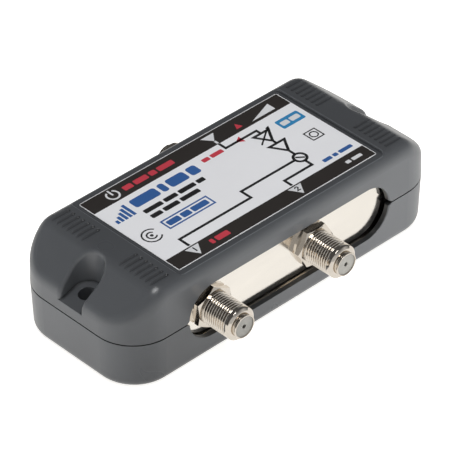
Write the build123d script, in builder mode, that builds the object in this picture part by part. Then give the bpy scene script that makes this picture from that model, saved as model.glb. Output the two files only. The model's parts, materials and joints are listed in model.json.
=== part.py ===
from build123d import *
import math
import os

os.makedirs("parts", exist_ok=True)

# All lengths in millimetres, angles in degrees.
# Origin: centre of the base. +Z up, X along the case, outputs towards -Y.

# Case, both halves
case_length = 110.3
case_width = 45.3
case_height = 29.2
corner_radius = 12.0
parting_height = 14.3
side_wall = 1.5
roof_wall = 2.4
floor_wall = 2.0
upper_draft = 1.2
lower_draft = 2.15
top_edge_radius = 4.0
base_edge_radius = 2.7
slope_run = 10.6
slope_drop_share = 0.6076
slope_blend_radius = 6.0
overrun = 1.0
steep_share = 0.9

# Joint between the halves
shadow_gap = 0.35
tongue_height = 1.2
tongue_thickness = 0.7
tongue_clearance = 0.1

# Wall-screw pocket in each sloping end
mount_hole_inset = 5.85
mount_hole_diameter = 4.5
mount_tube_wall = 1.3
pocket_radius = 4.1
pocket_mouth_width = 7.0
pocket_floor_share = 0.2953
pocket_floor_angle = 12.0
pocket_draft = 3.0
pocket_edge_radius = 1.0
pocket_wall = 1.8

# Grip grooves beside the pockets
groove_count = 7
groove_pitch = 1.87
groove_length = 6.7
groove_width = 1.15
groove_depth = 0.4
groove_inset = 13.5
groove_row_offset = 12.6

# Label and its recess
recess_end_inset = 18.65
recess_side_inset = 2.05
recess_depth = 0.55
recess_corner_radius = 1.8
label_end_gap = 1.5
label_side_gap = 1.95
label_thickness = 0.15
label_corner_radius = 0.6

# Long openings in the front and rear walls, with a bevel round their outer edge
slot_x = 0.4
slot_length_share = 0.65
slot_height_share = 0.579
slot_bevel = 0.3
slot_bevel_angle = 45.0
slot_notch_length = 1.0
slot_notch_height = 1.6

# Screws that close the case
boss_inset_x = 8.65
boss_inset_y = 9.65
upper_boss_radius = 3.25
lower_boss_radius = 4.3
screw_radius = 1.5
screw_length = 14.0
screw_seat_height = 4.0
screw_head_radius = 2.75
screw_head_height = 1.9
screw_head_round = 0.6
screw_drive_depth = 1.1
screw_drive_width = 0.7
screw_drive_length = 3.0
screw_clearance = 0.05
counterbore_clearance = 0.35

# Tinplate shield box
shield_sheet = 0.5
cover_sheet = 0.35
cover_flange_share = 0.47
cover_clearance = 0.05
shield_corner_radius = 1.2
shield_side_gap = 0.9
shield_end_gap = 4.4
support_height = 1.0
support_pad_radius = 2.5
support_rib_width = 1.5
support_share = 0.7
stop_clearance = 0.3
stop_width = 1.5
stop_length = 3.0
stop_height = 7.0
stop_spacing = 12.0

# F connectors: distances run outwards from the shield wall, shares place them along it
output_a_share = -0.6769
output_b_share = 0.2462
input_share = 0.2205
washer_thickness = 0.4
washer_radius = 6.0
nut_sides = 6
nut_across_flats = 11.0
nut_thickness = 1.8
nut_chamfer_angle = 30.0
nut_end_gap = 0.07
thread_radius = 4.7
thread_pitch = 0.794
thread_depth = 0.49
thread_crest = 0.1
thread_turns = 10
shank_radius = 4.35
plain_band = 1.0
nose_chamfer = 0.6
shoulder_radius = 4.0
neck_radius = 3.05
neck_length = 0.5
tip_radius = 3.35
tip_length = 0.6
port_bore_radius = 3.0
port_lip_radius = 2.4
port_lip_length = 0.5
port_flange_radius = 5.5
port_flange_length = 1.5
port_tail_radius = 4.0
port_tail_length = 2.8
insulator_recess = 0.3
insulator_entry_radius = 0.6
insulator_entry_length = 0.7
insulator_rear_wall = 1.0
contact_radius = 0.9
contact_bore_radius = 0.55
contact_bore_depth = 8.0
contact_tail_radius = 0.5
contact_tail_length = 4.0
contact_end_gap = 0.2
fit_clearance = 0.02

# Circuit board
board_thickness = 1.6
notch_clearance = 0.2

# Power socket, for a 5.5 mm barrel plug with a 2 mm pin
socket_share = -0.6667
socket_width = 9.0
socket_height = 11.0
socket_depth = 12.5
socket_nose_radius = 4.0
socket_nose_length = 2.5
socket_bore_radius = 3.15
socket_bore_depth = 10.5
socket_pin_radius = 1.0
socket_pin_recess = 0.5
socket_tail_radius = 0.5
socket_tail_length = 2.0
socket_hole_clearance = 0.1
spring_sheet = 0.3
spring_width = 2.4
spring_tail_length = 2.0
spring_reach = 0.9
spring_front_gap = 1.5
spring_clearance = 0.05
spring_bend_share = 0.65

# Gain trimmer
trimmer_share = 0.6692
trimmer_height_share = 0.858
trimmer_depth = 4.8
trimmer_front_wall = 1.0
trimmer_side_wall = 0.8
rotor_shaft_share = 0.18
rotor_shaft_length = 2.7
rotor_hub_share = 0.42
rotor_disc_thickness = 1.2
rotor_pivot_radius = 0.9
rotor_pivot_length = 1.1
rotor_slot_width = 0.8
rotor_slot_depth = 1.1
rotor_edge_chamfer = 0.3
rotor_clearance = 0.05
rotor_hole_clearance = 0.4
wafer_thickness = 0.8
wafer_margin = 0.6
trimmer_pin_share = 0.3
trimmer_pin_width = 0.8
trimmer_pin_sheet = 0.4
trimmer_pin_pitch = 2.5

# Parts on the board; shares place them along the board's half length and half width
capacitor_radius = 3.15
capacitor_headroom = 3.9
capacitor_gap = 3.35
capacitor_base_height = 0.8
regulator_length = 6.5
regulator_width = 6.1
regulator_height = 2.3
transistor_length = 4.5
transistor_width = 2.5
transistor_height = 1.5
lead_sheet = 0.4
lead_length = 0.8
lead_width = 0.5
diode_length = 4.3
diode_width = 2.6
diode_height = 2.2
chip_length = 2.0
chip_width = 1.25
resistor_height = 0.5
ceramic_height = 1.0
core_length = 7.0
core_width = 5.6
core_height = 4.4
core_hole_radius = 1.0
core_hole_pitch = 3.2
winding_radius = 0.85
winding_overhang = 1.2
choke_radius = 2.2
choke_post_radius = 1.1
choke_height = 3.8
choke_flange = 0.7
choke_winding_radius = 1.9
choke_clearance = 0.03
capacitor_width_share = 0.66
capacitor_end_share = -0.88
regulator_shares = [(-0.37, 0.1)]
transistor_shares = [(0.25, 0.2), (-0.04, -0.05)]
diode_shares = [(-0.92, 0.6)]
core_shares = [(-0.22, -0.52)]
choke_shares = [(0.05, 0.46), (0.42, 0.22), (-0.57, -0.12)]
resistor_shares = [
    (-0.07, -0.36), (0.07, -0.36), (0.07, -0.6), (0.47, -0.64), (0.47, -0.22),
    (0.67, -0.64), (0.67, -0.22), (0.88, -0.43), (0.88, 0.1), (0.67, 0.34),
    (-0.9, -0.52), (-0.47, -0.45),
]
ceramic_shares = [
    (0.57, -0.64), (0.57, -0.22), (0.78, -0.64), (0.78, -0.22), (0.67, -0.43),
    (0.88, 0.34), (0.57, 0.34), (0.78, 0.1), (-0.9, -0.7), (-0.47, -0.66),
    (0.12, -0.12), (-0.12, 0.3),
]

# Levels and places that follow from the sizes above
half_length = case_length / 2
half_width = case_width / 2
lower_rim = parting_height - shadow_gap / 2
upper_rim = parting_height + shadow_gap / 2
tongue_top = upper_rim + tongue_height
axis_height = parting_height
upper_rise = case_height - parting_height
slope_drop = upper_rise * slope_drop_share
slope_angle = math.degrees(math.atan2(slope_drop, slope_run))
slot_height = case_height * slot_height_share
pocket_floor_height = parting_height + upper_rise * pocket_floor_share
pocket_underside_height = tongue_top + tongue_clearance
mount_hole_x = half_length - mount_hole_inset
mount_tube_radius = mount_hole_diameter / 2 + mount_tube_wall
pocket_end_x = mount_hole_x - pocket_radius
groove_radius = groove_width**2 / (8 * groove_depth) + groove_depth / 2
groove_axis_height = case_height - groove_depth + groove_radius
recess_length = case_length - 2 * recess_end_inset
recess_width = case_width - 2 * recess_side_inset
label_length = recess_length - 2 * label_end_gap
label_width = recess_width - 2 * label_side_gap
slot_length = case_length * slot_length_share
boss_x = half_length - boss_inset_x
boss_y = half_width - boss_inset_y
shield_half_length = pocket_end_x - pocket_wall - shield_end_gap
shield_half_width = half_width - side_wall - shield_side_gap
shield_bottom = floor_wall + support_height
shield_top = case_height - roof_wall - support_height
frame_bottom = shield_bottom + cover_sheet
frame_top = shield_top - cover_sheet
top_flange = cover_sheet + (frame_top - axis_height - washer_radius) * cover_flange_share
bottom_flange = cover_sheet + (axis_height - washer_radius - frame_bottom) * cover_flange_share
board_top = axis_height - contact_tail_radius
board_bottom = board_top - board_thickness
board_half_length = shield_half_length - shield_sheet
board_half_width = shield_half_width - shield_sheet
output_a_x = shield_half_length * output_a_share
output_b_x = shield_half_length * output_b_share
input_x = shield_half_length * input_share
socket_x = shield_half_length * socket_share
trimmer_x = shield_half_length * trimmer_share
trimmer_size = (frame_top - board_top) * trimmer_height_share
trimmer_height = board_top + trimmer_size / 2
trimmer_chamber_radius = trimmer_size / 2 - trimmer_side_wall
rotor_disc_radius = trimmer_chamber_radius - rotor_clearance
rotor_shaft_radius = trimmer_size * rotor_shaft_share
rotor_hub_radius = rotor_shaft_radius + (rotor_disc_radius - rotor_shaft_radius) * rotor_hub_share
wafer_height = trimmer_size - wafer_margin
capacitor_height = frame_top - board_top - capacitor_headroom
nut_face = washer_thickness + nut_thickness
thread_start = nut_face + nut_end_gap
thread_end = thread_start + thread_turns * thread_pitch
band_end = thread_end + plain_band
chamfer_end = band_end + nose_chamfer
neck_end = chamfer_end + neck_length
tip_face = neck_end + tip_length
port_rear = shield_sheet + port_flange_length + port_tail_length

FRONT = -1
REAR = 1
ports = {
    "output_a": (output_a_x, FRONT),
    "output_b": (output_b_x, FRONT),
    "input": (input_x, REAR),
}
nut_turns = {"output_a": 30.0, "output_b": 0.0, "input": 15.0}


def keep(piece, name):
    """Label a finished piece and write it."""
    piece.part.label = name
    export_step(piece.part, "parts/" + name + ".step")


def wall_plane(x, side, height):
    """Plane on the shield's outer face: x runs outwards, y runs up."""
    origin = (x, side * shield_half_width, height)
    return Plane(origin=origin, x_dir=(0, side, 0), z_dir=(side, 0, 0))


def face_plane(x, side, height, distance):
    """Plane square to the axis, a distance outwards from the shield's outer face."""
    origin = (x, side * (shield_half_width + distance), height)
    return Plane(origin=origin, x_dir=(-side, 0, 0), z_dir=(0, side, 0))


def turned(plane, outline):
    """An outline of (outward distance, radius) points turned about the plane's x axis."""
    with BuildPart() as solid:
        with BuildSketch(plane):
            with BuildLine():
                Polyline(*outline, close=True)
            make_face()
        revolve(axis=Axis(plane.origin, plane.x_dir))
    return solid.part


# Plan and side outlines that both halves share


def plan(inset, mode=Mode.ADD):
    """Rounded plan of the case, drawn in by an inset."""
    RectangleRounded(
        case_length - 2 * inset, case_width - 2 * inset, corner_radius - inset, mode=mode
    )


def side_outline(inset, radius):
    """Side view of the case top: a flat roof that slopes down at both ends."""
    slope_x = half_length - slope_run - inset * math.tan(math.radians(slope_angle / 2))
    top = case_height - inset
    reach = half_length + overrun
    foot = top - (reach - slope_x) * math.tan(math.radians(slope_angle))
    with BuildSketch() as outline:
        with BuildLine():
            Polyline(
                (-reach, 0), (reach, 0), (reach, foot), (slope_x, top),
                (-slope_x, top), (-reach, foot), close=True,
            )
        make_face()
        fillet(outline.vertices().group_by(Axis.Y)[-1], radius)
    return outline.sketch


def corner_places(x, y):
    """The four places at plus and minus x and y."""
    return [(x, y), (-x, y), (x, -y), (-x, -y)]


def end_places(x):
    """The two places on the long axis, one near each end."""
    return [(x, 0), (-x, 0)]


def over_pocket_floor(point):
    """Height of a point above the sloping floor of the pocket at its end."""
    drop = (abs(point.X) - mount_hole_x) * math.tan(math.radians(pocket_floor_angle))
    return point.Z - pocket_floor_height + drop


def pocket_outline(margin):
    """Plan of one pocket at its floor, grown by a margin: round inside, open at the end."""
    radius = pocket_radius + margin
    mouth_x = half_length - mount_hole_x + overrun
    mouth_y = pocket_mouth_width / 2 + margin
    reach = math.hypot(mouth_x, mouth_y)
    touch_angle = math.atan2(mouth_y, mouth_x) + math.acos(radius / reach)
    touch_x = mount_hole_x + radius * math.cos(touch_angle)
    touch_y = radius * math.sin(touch_angle)
    with BuildSketch() as outline:
        with Locations((mount_hole_x, 0)):
            Circle(radius)
        with BuildLine():
            Polyline(
                (touch_x, touch_y), (mount_hole_x + mouth_x, mouth_y),
                (mount_hole_x + mouth_x, -mouth_y), (touch_x, -touch_y), close=True,
            )
        make_face()
    return outline.sketch


def slot_cutter():
    """Cutter for the long opening in the front wall: stadium shaped, wider at its face."""
    face = Plane(
        origin=(slot_x, -half_width, axis_height), x_dir=(1, 0, 0), z_dir=(0, 1, 0)
    )
    with BuildPart() as cutter:
        with BuildSketch(face.offset(slot_bevel)):
            SlotOverall(slot_length - 2 * slot_bevel, slot_height - 2 * slot_bevel)
        extrude(amount=side_wall + overrun)
        with BuildSketch(face.offset(slot_bevel)):
            SlotOverall(slot_length - 2 * slot_bevel, slot_height - 2 * slot_bevel)
        extrude(amount=-slot_bevel - overrun, taper=-slot_bevel_angle)
        # Small notches where the parting line meets the ends of the opening
        with BuildSketch(face.offset(-overrun)):
            for end in (-1, 1):
                root = end * (slot_length / 2 - slot_bevel - slot_notch_length)
                tip = end * (slot_length / 2 + slot_notch_length)
                with BuildLine():
                    Polyline(
                        (root, slot_notch_height), (tip, 0), (root, -slot_notch_height),
                        close=True,
                    )
                make_face()
        extrude(amount=overrun + side_wall)
    return cutter.part


# Upper half

floor_plane = Plane(
    origin=(mount_hole_x, 0, pocket_floor_height),
    x_dir=(1, 0, -math.tan(math.radians(pocket_floor_angle))),
    z_dir=(math.tan(math.radians(pocket_floor_angle)), 0, 1),
)

with BuildPart() as upper_form:
    with BuildSketch(Plane.XY.offset(upper_rim)):
        plan(0)
    extrude(amount=case_height - upper_rim, taper=upper_draft)
    with BuildSketch(Plane.XZ):
        add(side_outline(0, slope_blend_radius))
    extrude(amount=case_width, both=True, mode=Mode.INTERSECT)
    # The edge all round the top, without the creases across the roof
    top_edges = [
        e for e in upper_form.edges()
        if e.bounding_box().min.Z > upper_rim + overrun
        and abs(e.tangent_at(0.5).Z) < steep_share
        and not (e.geom_type == GeomType.LINE and abs(e.tangent_at(0.5).Y) > steep_share
                 and abs(e.center().X) < half_length - slope_run / 2)
    ]
    fillet(top_edges, top_edge_radius)

with BuildPart() as pocket_cutter:
    with BuildSketch(Plane.XY.offset(pocket_underside_height)):
        add(pocket_outline(0))
    extrude(amount=case_height, taper=-pocket_draft)
    split(bisect_by=floor_plane, keep=Keep.TOP)

with BuildPart() as upper_cavity:
    with BuildSketch(Plane.XY.offset(upper_rim)):
        plan(side_wall)
    extrude(amount=case_height - upper_rim, taper=upper_draft)
    with BuildSketch(Plane.XZ):
        add(side_outline(roof_wall, slope_blend_radius - roof_wall))
    extrude(amount=case_width, both=True, mode=Mode.INTERSECT)
    # Step round the rim that takes the tongue of the lower half
    with BuildSketch(Plane.XY.offset(upper_rim - overrun)):
        plan(side_wall - tongue_thickness - tongue_clearance)
    extrude(amount=overrun + tongue_height)
    # Screw bosses, pocket housings and their tubes stay solid
    with BuildSketch(Plane.XY):
        with Locations(*corner_places(boss_x, boss_y)):
            Circle(upper_boss_radius)
        with Locations(*end_places(mount_hole_x)):
            Circle(mount_tube_radius)
    extrude(amount=case_height, mode=Mode.SUBTRACT)
    with BuildSketch(Plane.XY.offset(pocket_underside_height)):
        add(pocket_outline(pocket_wall))
        mirror(about=Plane.YZ)
    extrude(amount=case_height, mode=Mode.SUBTRACT)
    # Ribs under the roof that hold the shield box down
    with BuildSketch(Plane.XY.offset(shield_top)):
        with GridLocations(0, 2 * shield_half_width * support_share, 1, 2):
            Rectangle(2 * shield_half_length * support_share, support_rib_width)
    extrude(amount=support_height + overrun, mode=Mode.SUBTRACT)

groove_plane = Plane(
    origin=(0, 0, groove_axis_height), x_dir=(1, 0, 0), z_dir=(0, -1, 0)
)

# Rounded bar with rounded ends; only its lower part enters the roof
with BuildPart() as groove_cutter:
    with BuildSketch(groove_plane):
        SlotCenterToCenter(groove_length - groove_width, 2 * groove_radius)
        Rectangle(
            groove_length + 2 * groove_radius, groove_radius,
            align=(Align.CENTER, Align.MIN), mode=Mode.INTERSECT,
        )
    revolve(axis=Axis(groove_plane.origin, groove_plane.x_dir))

with BuildPart() as upper_shell:
    add(upper_form)
    with BuildSketch(Plane.XY.offset(case_height - recess_depth)):
        RectangleRounded(recess_length, recess_width, recess_corner_radius)
    extrude(amount=recess_depth + overrun, mode=Mode.SUBTRACT)
    add(pocket_cutter, mode=Mode.SUBTRACT)
    add(mirror(pocket_cutter.part, about=Plane.YZ, mode=Mode.PRIVATE), mode=Mode.SUBTRACT)
    pocket_rims = [
        e for e in upper_shell.edges()
        if abs(e.center().Y) < pocket_radius + pocket_edge_radius
        and abs(e.center().X) > pocket_end_x - pocket_edge_radius
        and over_pocket_floor(e.center()) > pocket_edge_radius / 2
        and (abs(e.tangent_at(0.5).Z) < steep_share
             or abs(e.center().X) > mount_hole_x + pocket_radius)
    ]
    fillet(pocket_rims, pocket_edge_radius)
    # Grip grooves in four groups
    with Locations(*corner_places(half_length - groove_inset, groove_row_offset)):
        with GridLocations(0, groove_pitch, 1, groove_count):
            add(groove_cutter.part, mode=Mode.SUBTRACT)
    add(upper_cavity, mode=Mode.SUBTRACT)
    # Holes for the wall screws, and blind holes for the case screws
    with BuildSketch(Plane.XY):
        with Locations(*end_places(mount_hole_x)):
            Circle(mount_hole_diameter / 2)
    extrude(amount=case_height, mode=Mode.SUBTRACT)
    with BuildSketch(Plane.XY):
        with Locations(*corner_places(boss_x, boss_y)):
            Circle(screw_radius + screw_clearance)
    extrude(amount=screw_seat_height + screw_length + overrun, mode=Mode.SUBTRACT)
    front_slot = slot_cutter()
    rear_slot = mirror(front_slot, about=Plane.XZ, mode=Mode.PRIVATE)
    add([front_slot, rear_slot], mode=Mode.SUBTRACT)
keep(upper_shell, "upper_shell")


# Lower half

downward = Plane(origin=(0, 0, lower_rim), x_dir=(1, 0, 0), z_dir=(0, 0, -1))

with BuildPart() as lower_shell:
    with BuildSketch(downward):
        plan(0)
    extrude(amount=lower_rim, taper=lower_draft)
    fillet(lower_shell.edges().group_by(Axis.Z)[0], base_edge_radius)
    with BuildSketch(downward):
        plan(side_wall)
    extrude(amount=lower_rim - floor_wall, taper=lower_draft, mode=Mode.SUBTRACT)
    # Tongue, cleared round the tubes of the upper half
    with BuildSketch(Plane.XY.offset(lower_rim)):
        plan(side_wall - tongue_thickness)
        plan(side_wall, mode=Mode.SUBTRACT)
        with Locations(*end_places(mount_hole_x)):
            Circle(mount_tube_radius + tongue_clearance, mode=Mode.SUBTRACT)
    extrude(amount=tongue_top - lower_rim)
    # Bosses and tubes that meet those of the upper half
    with BuildSketch(Plane.XY.offset(floor_wall)):
        with Locations(*corner_places(boss_x, boss_y)):
            Circle(lower_boss_radius)
        with Locations(*end_places(mount_hole_x)):
            Circle(mount_tube_radius)
    extrude(amount=upper_rim - floor_wall)
    # Pads that carry the shield box, and stops at its ends
    with BuildSketch(Plane.XY.offset(floor_wall)):
        pad_x = shield_half_length * support_share
        pad_y = shield_half_width * support_share
        with Locations(*corner_places(pad_x, pad_y)):
            Circle(support_pad_radius)
    extrude(amount=support_height)
    with BuildSketch(Plane.XY.offset(floor_wall)):
        stop_face = shield_half_length + cover_clearance + cover_sheet + stop_clearance
        with Locations(*corner_places(stop_face + stop_length / 2, stop_spacing / 2)):
            Rectangle(stop_length, stop_width)
    extrude(amount=stop_height)
    # Holes for the wall screws and the case screws
    with BuildSketch(Plane.XY):
        with Locations(*end_places(mount_hole_x)):
            Circle(mount_hole_diameter / 2)
        with Locations(*corner_places(boss_x, boss_y)):
            Circle(screw_radius + screw_clearance)
    extrude(amount=case_height, mode=Mode.SUBTRACT)
    with BuildSketch(Plane.XY):
        with Locations(*corner_places(boss_x, boss_y)):
            Circle(screw_head_radius + counterbore_clearance)
    extrude(amount=screw_seat_height, mode=Mode.SUBTRACT)
    add([front_slot, rear_slot], mode=Mode.SUBTRACT)
keep(lower_shell, "lower_shell")


# Label in the recess of the roof

with BuildPart() as label_plate:
    with BuildSketch(Plane.XY.offset(case_height - recess_depth)):
        RectangleRounded(label_length, label_width, label_corner_radius)
    extrude(amount=label_thickness)
keep(label_plate, "label_plate")


# Four screws that close the case from below

with BuildPart() as case_screws:
    with BuildSketch(Plane.XY.offset(screw_seat_height - screw_head_height)):
        with Locations(*corner_places(boss_x, boss_y)):
            Circle(screw_head_radius)
    extrude(amount=screw_head_height)
    fillet(case_screws.edges().group_by(Axis.Z)[0], screw_head_round)
    with BuildSketch(Plane.XY.offset(screw_seat_height)):
        with Locations(*corner_places(boss_x, boss_y)):
            Circle(screw_radius)
    extrude(amount=screw_length)
    with BuildSketch(Plane.XY.offset(screw_seat_height - screw_head_height)):
        with Locations(*corner_places(boss_x, boss_y)):
            Rectangle(screw_drive_length, screw_drive_width)
            Rectangle(screw_drive_width, screw_drive_length)
    extrude(amount=screw_drive_depth, mode=Mode.SUBTRACT)
keep(case_screws, "case_screws")


# Shield box: a folded frame with a cover above and below

with BuildPart() as shield_frame:
    with BuildSketch(Plane.XY.offset(frame_bottom)):
        RectangleRounded(2 * shield_half_length, 2 * shield_half_width, shield_corner_radius)
        RectangleRounded(
            2 * board_half_length, 2 * board_half_width,
            shield_corner_radius - shield_sheet, mode=Mode.SUBTRACT,
        )
    extrude(amount=frame_top - frame_bottom)
    wall_holes = [
        (x, side, axis_height, shank_radius + fit_clearance) for x, side in ports.values()
    ]
    wall_holes.append((socket_x, REAR, axis_height, socket_nose_radius + socket_hole_clearance))
    wall_holes.append((trimmer_x, REAR, trimmer_height, rotor_shaft_radius + rotor_hole_clearance))
    for x, side, height, radius in wall_holes:
        with BuildSketch(face_plane(x, side, height, overrun)):
            Circle(radius)
        extrude(amount=-2 * overrun - shield_sheet, mode=Mode.SUBTRACT)
keep(shield_frame, "shield_frame")

cover_margin = cover_clearance + cover_sheet


def shield_cover(outside, flange, outward):
    """Lid with its outer face at a height, and a flange that points away from outward."""
    face = Plane(origin=(0, 0, outside), x_dir=(1, 0, 0), z_dir=(0, 0, outward))
    with BuildPart() as cover:
        with BuildSketch(face):
            RectangleRounded(
                2 * (shield_half_length + cover_margin), 2 * (shield_half_width + cover_margin),
                shield_corner_radius + cover_margin,
            )
        extrude(amount=-flange)
        with BuildSketch(face.offset(-flange)):
            RectangleRounded(
                2 * (shield_half_length + cover_clearance),
                2 * (shield_half_width + cover_clearance),
                shield_corner_radius + cover_clearance,
            )
        extrude(amount=flange - cover_sheet, mode=Mode.SUBTRACT)
    return cover.part


with BuildPart() as shield_top_cover:
    add(shield_cover(shield_top, top_flange, 1))
keep(shield_top_cover, "shield_top_cover")

with BuildPart() as shield_bottom_cover:
    add(shield_cover(shield_bottom, bottom_flange, -1))
keep(shield_bottom_cover, "shield_bottom_cover")


# Circuit board, soldered into the frame along its edges

with BuildPart() as circuit_board:
    with BuildSketch(Plane.XY.offset(board_bottom)):
        RectangleRounded(
            2 * board_half_length, 2 * board_half_width, shield_corner_radius - shield_sheet
        )
        for x, side in ports.values():
            with Locations((x, side * board_half_width)):
                Rectangle(
                    2 * (port_flange_radius + notch_clearance),
                    2 * (port_flange_length + port_tail_length + notch_clearance),
                    mode=Mode.SUBTRACT,
                )
        with Locations((socket_x, board_half_width)):
            Rectangle(
                socket_width + 2 * notch_clearance, 2 * (socket_depth + notch_clearance),
                mode=Mode.SUBTRACT,
            )
    extrude(amount=board_thickness)
keep(circuit_board, "circuit_board")


# F connectors: body, insulator and centre contact, each turned about the port axis


def port_body_outline():
    """Section of the body: flange and tail inside the box, thread and tip outside."""
    points = [
        (-port_rear, port_lip_radius), (-port_rear, port_tail_radius),
        (-shield_sheet - port_flange_length, port_tail_radius),
        (-shield_sheet - port_flange_length, port_flange_radius),
        (-shield_sheet, port_flange_radius), (-shield_sheet, shank_radius),
        (thread_start, shank_radius),
    ]
    for number in range(thread_turns):
        crest = thread_start + number * thread_pitch
        root = crest + (thread_pitch + thread_crest) / 2
        points.append((crest, thread_radius))
        points.append((crest + thread_crest, thread_radius))
        points.append((root, thread_radius - thread_depth))
    points += [
        (thread_end, thread_radius), (band_end, thread_radius),
        (chamfer_end, shoulder_radius), (chamfer_end, neck_radius),
        (neck_end, neck_radius), (neck_end, tip_radius),
        (tip_face, tip_radius), (tip_face, port_bore_radius),
        (port_lip_length - port_rear, port_bore_radius),
        (port_lip_length - port_rear, port_lip_radius),
    ]
    return points


insulator_rear = port_lip_length - port_rear
insulator_front = tip_face - insulator_recess
chamber_rear = insulator_rear + insulator_rear_wall
chamber_front = insulator_front - insulator_entry_length
contact_front = chamber_front - contact_end_gap
contact_rear = -port_rear - contact_tail_length

insulator_outline = [
    (insulator_rear, contact_tail_radius + fit_clearance),
    (insulator_rear, port_bore_radius - fit_clearance),
    (insulator_front, port_bore_radius - fit_clearance),
    (insulator_front, insulator_entry_radius), (chamber_front, insulator_entry_radius),
    (chamber_front, contact_radius + fit_clearance),
    (chamber_rear, contact_radius + fit_clearance),
    (chamber_rear, contact_tail_radius + fit_clearance),
]

contact_outline = [
    (contact_rear, 0), (contact_rear, contact_tail_radius),
    (chamber_rear, contact_tail_radius), (chamber_rear, contact_radius),
    (contact_front, contact_radius), (contact_front, contact_bore_radius),
    (contact_front - contact_bore_depth, contact_bore_radius),
    (contact_front - contact_bore_depth, 0),
]

for port, (x, side) in ports.items():
    port_axis = wall_plane(x, side, axis_height)
    with BuildPart() as port_body:
        add(turned(port_axis, port_body_outline()))
    keep(port_body, port + "_body")
    with BuildPart() as port_insulator:
        add(turned(port_axis, insulator_outline))
    keep(port_insulator, port + "_insulator")
    with BuildPart() as port_contact:
        add(turned(port_axis, contact_outline))
    keep(port_contact, port + "_contact")


# Hexagon nuts and the washers under them, one of each at every connector


def hexagon_nut(x, side, rotation):
    """Nut with its outer corners chamfered."""
    flat_radius = nut_across_flats / 2
    corner = flat_radius / math.cos(math.pi / nut_sides)
    drop = (corner - flat_radius) * math.tan(math.radians(nut_chamfer_angle))
    with BuildPart() as nut:
        with BuildSketch(face_plane(x, side, axis_height, washer_thickness)):
            RegularPolygon(flat_radius, nut_sides, major_radius=False, rotation=rotation)
        extrude(amount=nut_thickness)
        chamfered = [
            (washer_thickness, 0), (washer_thickness, corner + overrun),
            (nut_face - drop, corner), (nut_face, flat_radius), (nut_face, 0),
        ]
        add(turned(wall_plane(x, side, axis_height), chamfered), mode=Mode.INTERSECT)
        with BuildSketch(face_plane(x, side, axis_height, 0)):
            Circle(shank_radius + fit_clearance)
        extrude(amount=nut_face + overrun, mode=Mode.SUBTRACT)
    return nut.part


with BuildPart() as connector_nuts:
    for port, (x, side) in ports.items():
        add(hexagon_nut(x, side, nut_turns[port]))
keep(connector_nuts, "connector_nuts")

with BuildPart() as connector_lock_washers:
    for x, side in ports.values():
        with BuildSketch(face_plane(x, side, axis_height, 0)):
            Circle(washer_radius)
            Circle(shank_radius + fit_clearance, mode=Mode.SUBTRACT)
        extrude(amount=washer_thickness)
keep(connector_lock_washers, "connector_lock_washers")


# Power socket, set into a notch of the board with its nose through the box

socket_plane = wall_plane(socket_x, REAR, axis_height)
socket_rear = -shield_sheet - socket_depth
bore_bottom = socket_nose_length - socket_bore_depth
pin_shoulder = (bore_bottom + socket_rear) / 2
spring_line = socket_x + socket_bore_radius + spring_sheet / 2 + spring_clearance
spring_outer = spring_line + spring_sheet / 2 + spring_clearance
spring_inner = spring_line - spring_sheet / 2 - spring_clearance
spring_front = -shield_sheet - spring_front_gap

with BuildPart() as power_socket_housing:
    with BuildSketch(face_plane(socket_x, REAR, axis_height, -shield_sheet)):
        Rectangle(socket_width, socket_height)
    extrude(amount=-socket_depth)
    with BuildSketch(face_plane(socket_x, REAR, axis_height, -shield_sheet)):
        Circle(socket_nose_radius)
    extrude(amount=shield_sheet + socket_nose_length)
    with BuildSketch(face_plane(socket_x, REAR, axis_height, socket_nose_length)):
        Circle(socket_bore_radius)
    extrude(amount=-socket_bore_depth, mode=Mode.SUBTRACT)
    pin_hole = [
        (socket_rear - overrun, 0), (socket_rear - overrun, socket_tail_radius + fit_clearance),
        (pin_shoulder, socket_tail_radius + fit_clearance),
        (pin_shoulder, socket_pin_radius + fit_clearance),
        (bore_bottom + overrun, socket_pin_radius + fit_clearance), (bore_bottom + overrun, 0),
    ]
    add(turned(socket_plane, pin_hole), mode=Mode.SUBTRACT)
    # Channel for the side spring: through the rear, and wider beside the bore
    with BuildSketch(Plane.XY.offset(board_top - spring_clearance)):
        channels = [
            (spring_inner, socket_rear - overrun, spring_front + spring_clearance),
            (spring_inner - spring_reach, bore_bottom, spring_front + spring_clearance),
        ]
        for inner, near, far in channels:
            with Locations(((inner + spring_outer) / 2, shield_half_width + (near + far) / 2)):
                Rectangle(spring_outer - inner, far - near)
    extrude(amount=spring_width + 2 * spring_clearance, mode=Mode.SUBTRACT)
keep(power_socket_housing, "power_socket_housing")

with BuildPart() as power_socket_pin:
    pin_front = socket_nose_length - socket_pin_recess
    add(turned(socket_plane, [
        (socket_rear - socket_tail_length, 0),
        (socket_rear - socket_tail_length, socket_tail_radius),
        (pin_shoulder, socket_tail_radius), (pin_shoulder, socket_pin_radius),
        (pin_front - socket_pin_radius / 2, socket_pin_radius),
        (pin_front, socket_pin_radius / 2), (pin_front, 0),
    ]))
keep(power_socket_pin, "power_socket_pin")

with BuildPart() as power_socket_spring:
    with BuildSketch(Plane.XY.offset(board_top)):
        with BuildLine():
            spring_span = spring_front - bore_bottom
            Polyline(
                (spring_line, shield_half_width + socket_rear - spring_tail_length),
                (spring_line, shield_half_width + bore_bottom + spring_sheet),
                (spring_line - spring_reach + spring_sheet / 2,
                 shield_half_width + bore_bottom + spring_span * spring_bend_share),
                (spring_line - spring_sheet, shield_half_width + spring_front - spring_sheet),
            )
        trace(line_width=spring_sheet)
    extrude(amount=spring_width)
keep(power_socket_spring, "power_socket_spring")


# Gain trimmer: housing, rear wafer, pins and the rotor that a screwdriver turns

trimmer_plane = wall_plane(trimmer_x, REAR, trimmer_height)
trimmer_rear = -shield_sheet - trimmer_depth
wafer_rear = trimmer_rear - wafer_thickness

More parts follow.
